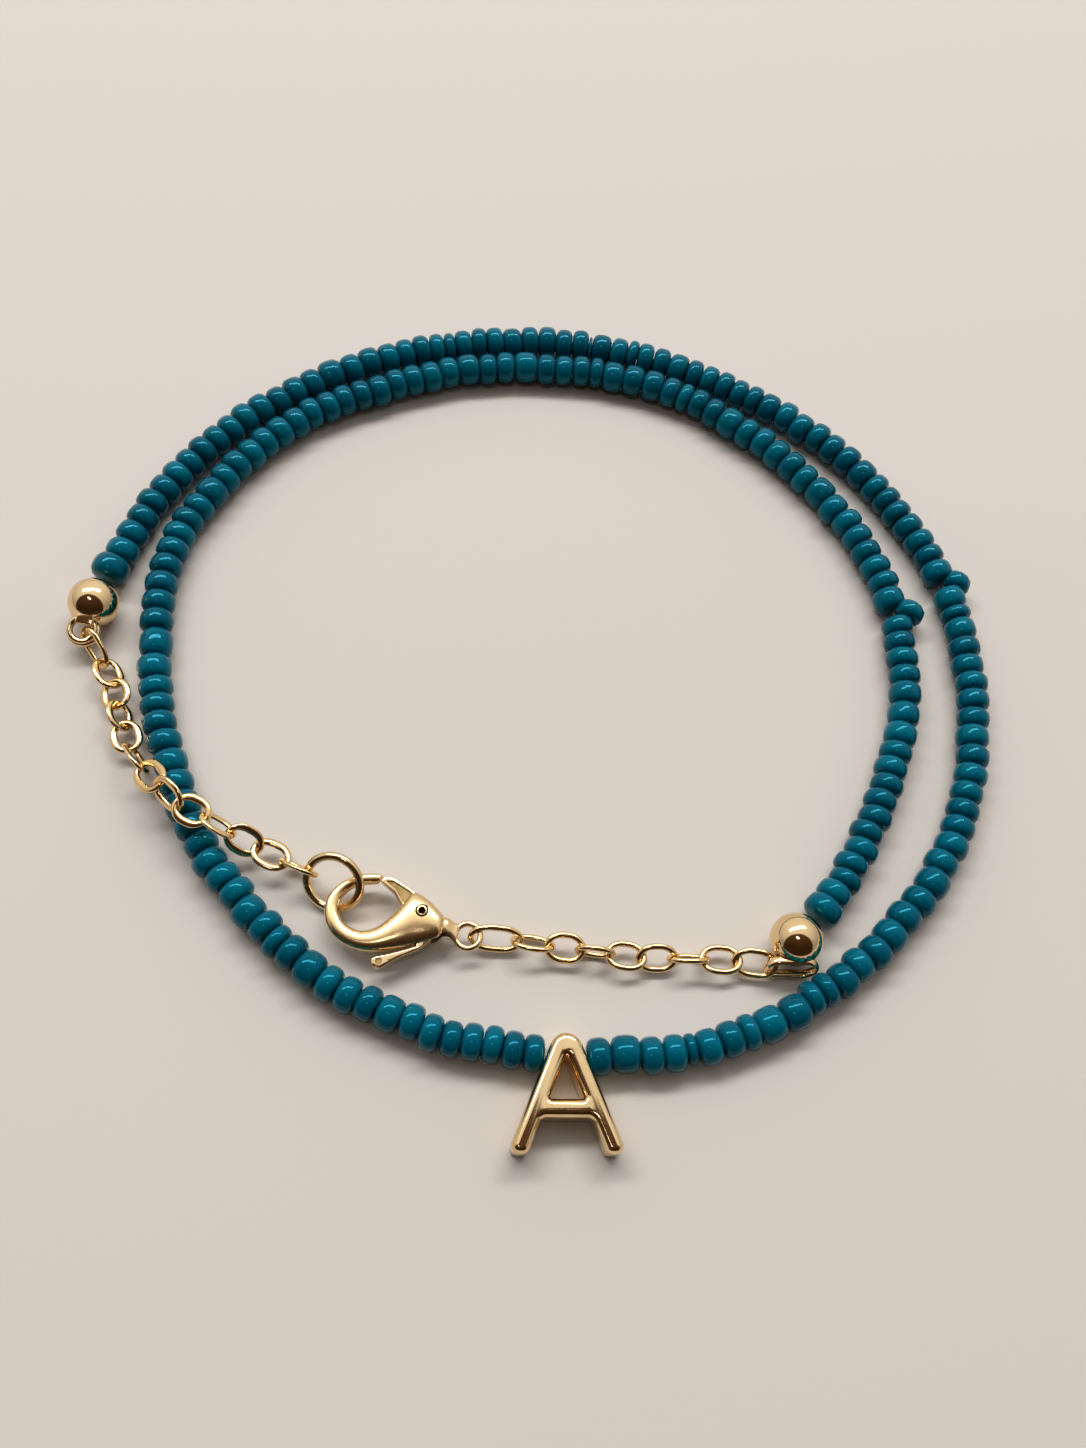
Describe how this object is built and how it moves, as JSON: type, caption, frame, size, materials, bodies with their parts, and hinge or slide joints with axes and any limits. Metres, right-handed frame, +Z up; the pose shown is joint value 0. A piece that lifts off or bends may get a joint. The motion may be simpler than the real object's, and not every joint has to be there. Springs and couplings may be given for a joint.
{
  "type": "beaded necklace",
  "caption": "seed bead necklace lying in a double coil, with a letter slider pendant, bead tips, cable chain ends, a jump ring and a lobster clasp that is done up",
  "frame": {"origin": "middle of the footprint of the coiled necklace, at the height of the surface that it lies on", "axes": "+Z up from the surface, +X across the coil to the right and +Y away from the pendant, which hangs off the coil toward -Y"},
  "size_m": [0.081, 0.0788, 0.0047],
  "materials": {
    "bead_glass": "opaque glossy teal seed bead",
    "chain_gold": "bright pale gold plate",
    "gold": "polished pale gold plate"
  },
  "bodies": {
    "necklace": {"bead_run_a_01": "bead_glass", "bead_run_a_02": "bead_glass", "bead_run_a_03": "bead_glass", "bead_run_a_04": "bead_glass", "bead_run_a_05": "bead_glass", "bead_run_a_06": "bead_glass", "bead_run_a_07": "bead_glass", "bead_run_a_08": "bead_glass", "bead_run_a_09": "bead_glass", "bead_run_a_10": "bead_glass", "bead_run_a_11": "bead_glass", "bead_run_a_12": "bead_glass", "bead_run_b_01": "bead_glass", "bead_run_b_02": "bead_glass", "bead_run_b_03": "bead_glass", "bead_run_b_04": "bead_glass", "bead_run_b_05": "bead_glass", "bead_run_b_06": "bead_glass", "bead_run_b_07": "bead_glass", "bead_run_b_08": "bead_glass", "bead_run_b_09": "bead_glass", "bead_run_b_10": "bead_glass", "bead_run_b_11": "bead_glass", "bead_run_b_12": "bead_glass", "bead_run_b_13": "bead_glass", "chain_link_left_01": "chain_gold", "chain_link_left_02": "chain_gold", "chain_link_left_03": "chain_gold", "chain_link_left_04": "chain_gold", "chain_link_left_05": "chain_gold", "chain_link_left_06": "chain_gold", "chain_link_left_07": "chain_gold", "chain_link_left_08": "chain_gold", "chain_link_left_09": "chain_gold", "chain_link_left_10": "chain_gold", "chain_link_left_11": "chain_gold", "chain_link_left_12": "chain_gold", "chain_link_left_13": "chain_gold", "chain_link_right_01": "chain_gold", "chain_link_right_02": "chain_gold", "chain_link_right_03": "chain_gold", "chain_link_right_04": "chain_gold", "chain_link_right_05": "chain_gold", "chain_link_right_06": "chain_gold", "chain_link_right_07": "chain_gold", "chain_link_right_08": "chain_gold", "chain_link_right_09": "chain_gold", "bead_tip_left": "gold", "bead_tip_right": "gold", "jump_ring": "gold", "clasp_body": "gold", "clasp_rivet": "gold", "pendant": "gold"},
    "lever": {"clasp_lever": "gold"}
  },
  "joints": [
    {"name": "clasp_lever_hinge", "type": "hinge", "parent": "necklace", "child": "lever", "pos_m": [-0.0093, -0.0212, 0.00165], "axis": [0, 0, 1], "range_deg": [0, 25], "stiffness_Nm_per_rad": 0.002, "springref_deg": -5.73}
  ]
}
